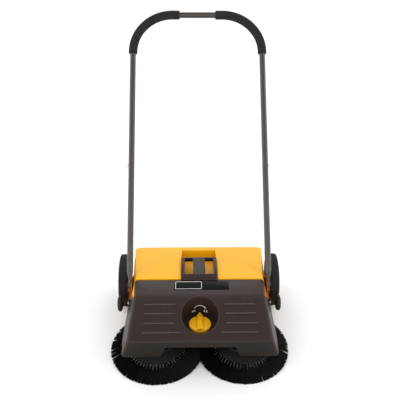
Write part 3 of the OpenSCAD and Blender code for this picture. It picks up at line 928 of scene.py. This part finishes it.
def build_hand_knob(side):
    """A six-lobed knob on its stud, with a small plug in its end."""
    tag = TAG[side]
    turn = facing(side)
    centre = at(0, STUD_Y, STUD_Z)

    def lobes(angle, radius, height):
        if radius < 16:
            return 1
        strength = min(1, (radius - 14) / 10)
        return 1 - 0.075 * strength * (0.5 + 0.5 * math.cos(6 * angle)) ** 1.5
    profile = rounded([(4.2, 229.2), (12.5, 229.2), (8.8, 235), (8.8, 242.5), (19, 244.6),
                       (26.4, 247.4), (26.4, 255.2), (20.5, 259), (9, 260.2), (4.2, 260.2)],
                      [0.5, 1, 3, 3, 3, 2.5, 2.5, 4, 3, 0.5], 4)
    body = lathe("grip", profile, centre, turn, BLACK, 180, lobes, closed=True, smooth=45)
    plug = lathe("plug", [(0, 259.6), (3.6, 259.6), (4.4, 259.2), (4.4, 256)], centre, turn, BLACK, 48)
    knob = joined("star_grip_" + tag, [body, plug])
    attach(knob, "hand_knob_" + tag)
    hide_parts("hand_knob_" + tag)


# ---------------------------------------------------------------- handle

HANDLE = Matrix.Rotation(-math.radians(40.2), 3, "X")
PIVOT = at(0, 133, 146)


def on_handle(x, s):
    """The point s mm up the leaning handle from its foot bolt."""
    return PIVOT + HANDLE @ (Vector((x, 0, s)) * MM)


def build_grip(side, rng):
    """A foam sleeve up the tube, round the bend and along the crossbar."""
    tag = TAG[side]
    points = []
    start, inner_x, bend_x = 784, 62, HANDLE_X - HANDLE_BEND
    for k in range(3):
        points.append(on_handle(side * HANDLE_X, start + 2 * k))
    for k in range(49):
        a = math.pi / 2 * k / 48
        x = bend_x + HANDLE_BEND * math.cos(a)
        points.append(on_handle(side * x, HANDLE_TOP - HANDLE_BEND + HANDLE_BEND * math.sin(a)))
    for k in range(1, 9):
        points.append(on_handle(side * (bend_x - (bend_x - inner_x) * k / 8), HANDLE_TOP))
    last = len(points) - 1
    waves = [rng.uniform(-1, 1) for _ in range(len(points))]

    def radius(k, a):
        r = 14.9 - (0.5 if k in (0, last) else 0) + 0.08 * waves[k]
        return r * (1 + 0.004 * math.sin(3 * a + k * 0.35))
    grip = sweep("foam_" + tag, points, radius, FOAM, 48)
    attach(grip, "handle")
    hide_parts("grip_" + tag)


# ---------------------------------------------------------------- the CAD nodes that stay

def finish_node(name, mat, round_mm=0.0, segments=2):
    """Gives a CAD node its material and, where round_mm is set, rounded edges."""
    obj = nodes[name]
    paint(obj, mat)
    if round_mm:
        weld = obj.modifiers.new("weld", "WELD")
        weld.merge_threshold = 1e-6
        flat = obj.modifiers.new("flat", "DECIMATE")
        flat.decimate_type = "DISSOLVE"
        flat.angle_limit = math.radians(0.5)
        mod = soften(obj, round_mm, segments, 35)
        mod.use_clamp_overlap = True


def finish_cad():
    finish_node("chassis", BLACK, 0.8)
    finish_node("side_panels", YELLOW, 0.8, 3)
    finish_node("hopper_tub", YELLOW, 1.2, 3)
    finish_node("intake_flap", RUBBER)
    finish_node("carriage", BLACK, 0.8)
    finish_node("roller", RUBBER)
    # The pocket faces of the yellow side panels get the darker orange pocket material: painted shade.
    pocket = nodes["side_panels"].data
    pocket.materials.append(POCKET_PAINTED_SHADE)
    for face in pocket.polygons:
        centre = face.center
        if abs(centre.x) > 211.5 * MM and 104 < (centre.y - SHIFT) / MM < 190 and centre.z > 105 * MM:
            face.material_index = 1
    finish_node("pivot_bolts", BLACK)
    for name in ("hood_screws", "knob_shaft", "guide_pin", "roller_axle", "idler_studs"):
        finish_node(name, STEEL)
    finish_node("axle_bushes", RESIN)
    finish_node("upper_tube", PAINT)
    for tag in TAG.values():
        finish_node("disc_" + tag, BLACK)
        finish_node("brush_nut_" + tag, BLACK, 0.8)
        finish_node("lower_tube_" + tag, PAINT)
        for name in ("crown_", "pinion_", "idler_front_", "idler_rear_", "drive_gear_"):
            finish_node(name + tag, RESIN)
        for name in ("spindle_", "layshaft_", "axle_", "button_", "knob_stud_"):
            finish_node(name + tag, STEEL)


# ---------------------------------------------------------------- stage

def build_stage():
    """A white floor and sky, soft lamps, and two strips that lie along the handle's tubes."""
    mat, tree, bsdf = make_material("studio_floor")
    colour = ramp(tree, noise(tree, 3, 2, 0.5), [(0.3, grey(0.94)), (0.7, grey(0.955))])
    tree.links.new(colour, bsdf.inputs["Base Color"])
    bsdf.inputs["Roughness"].default_value = 0.95
    bsdf.inputs["Specular IOR Level"].default_value = 0.1
    size = 14
    corners = [Vector((size * x, size * y, 0)) for x, y in ((-1, -1), (1, -1), (1, 1), (-1, 1))]
    floor = mesh_object("studio_floor", corners, [[0, 1, 2, 3]], mat)
    world = bpy.data.worlds.new("studio")
    world.use_nodes = True
    sky = world.node_tree
    split = add(sky, "ShaderNodeSeparateXYZ")
    sky.links.new(add(sky, "ShaderNodeTexCoord").outputs["Generated"], split.inputs[0])
    shades = ramp(sky, split.outputs["Z"], [(0.0, grey(1.0)), (0.70, grey(1.0)), (0.92, grey(0.40))])
    sky.links.new(shades, sky.nodes["Background"].inputs["Color"])
    sky.nodes["Background"].inputs["Strength"].default_value = 1.35
    bpy.context.scene.world = world
    for name, place, target, size_x, size_y, power in (
        ("rear", (0.0, 3.4, 2.2), (0, 0, 0.3), 3.4, 1.6, 20),
        ("front", (-1.3, -2.4, 2.2), (0, -0.1, 0.3), 1.8, 1.8, 5),
        ("strip_left", (-1.75, -0.35, 1.31), (-0.22, 0.13, 0.5), 0.07, 2.4, 6),
        ("strip_right", (1.75, -0.35, 1.31), (0.22, 0.13, 0.5), 0.07, 2.4, 7),
    ):
        data = bpy.data.lights.new(name, "AREA")
        data.shape = "RECTANGLE"
        data.size = size_x
        data.size_y = size_y
        data.energy = power
        lamp = link(bpy.data.objects.new(name, data))
        lamp.location = place
        back = (Vector(place) - Vector(target)).normalized()
        up = Vector((0, 0, 1))
        if name.startswith("strip"):
            up = HANDLE @ up
        side = up.cross(back).normalized()
        lamp.rotation_euler = Matrix((side, back.cross(side), back)).transposed().to_euler()


def build_camera():
    data = bpy.data.cameras.new("camera")
    data.sensor_width = 36
    data.lens = 50.4
    camera = link(bpy.data.objects.new("camera", data))
    camera.location = at(-30, -1270, 1280)
    down, yaw = math.radians(30.33), math.radians(1.24)
    look = Vector((math.sin(yaw) * math.cos(down), math.cos(yaw) * math.cos(down), -math.sin(down)))
    roll = Quaternion((0, 0, 1), math.radians(0.4))
    camera.rotation_euler = (look.to_track_quat("-Z", "Y") @ roll).to_euler()
    bpy.context.scene.camera = camera


bpy.context.scene.view_settings.view_transform = "Standard"
rng = random.Random(7)
build_camera()
build_stage()
finish_cad()
build_hood()
build_bridge()
build_plate()
build_scale()
build_knob()
build_lid()
for s in (-1, 1):
    build_bristles(s, rng)
    build_tyre(s)
    build_rim(s)
    build_hand_knob(s)
    build_grip(s, rng)
